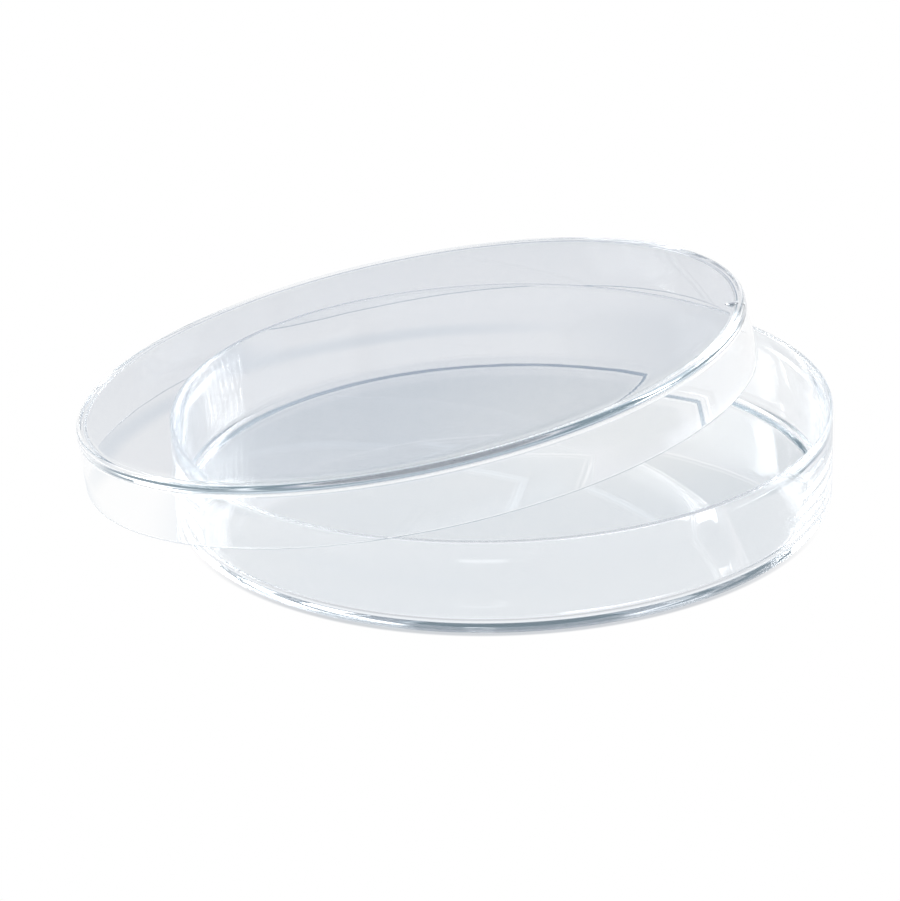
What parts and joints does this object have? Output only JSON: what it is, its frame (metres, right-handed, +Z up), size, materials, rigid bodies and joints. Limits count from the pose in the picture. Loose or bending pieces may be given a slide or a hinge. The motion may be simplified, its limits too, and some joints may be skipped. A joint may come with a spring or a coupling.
{
  "type": "petri dish",
  "caption": "Shallow round clear plastic dish with a loose, slightly wider lid resting askew across its rim.",
  "frame": {"origin": "centre of the dish's flat underside", "axes": "+Z up, out of the dish; the lid overhangs the dish towards -X"},
  "size_m": [0.1033, 0.0956, 0.0271],
  "materials": {
    "dish_polystyrene": "gloss",
    "lid_polystyrene": "gloss"
  },
  "bodies": {
    "dish": {"dish": "dish_polystyrene"},
    "lid": {"lid": "lid_polystyrene"}
  },
  "joints": [
    {"name": "lid_lift", "type": "slide", "parent": "dish", "child": "lid", "axis": [0, 0, 1], "range_m": [0, 0.06]}
  ]
}
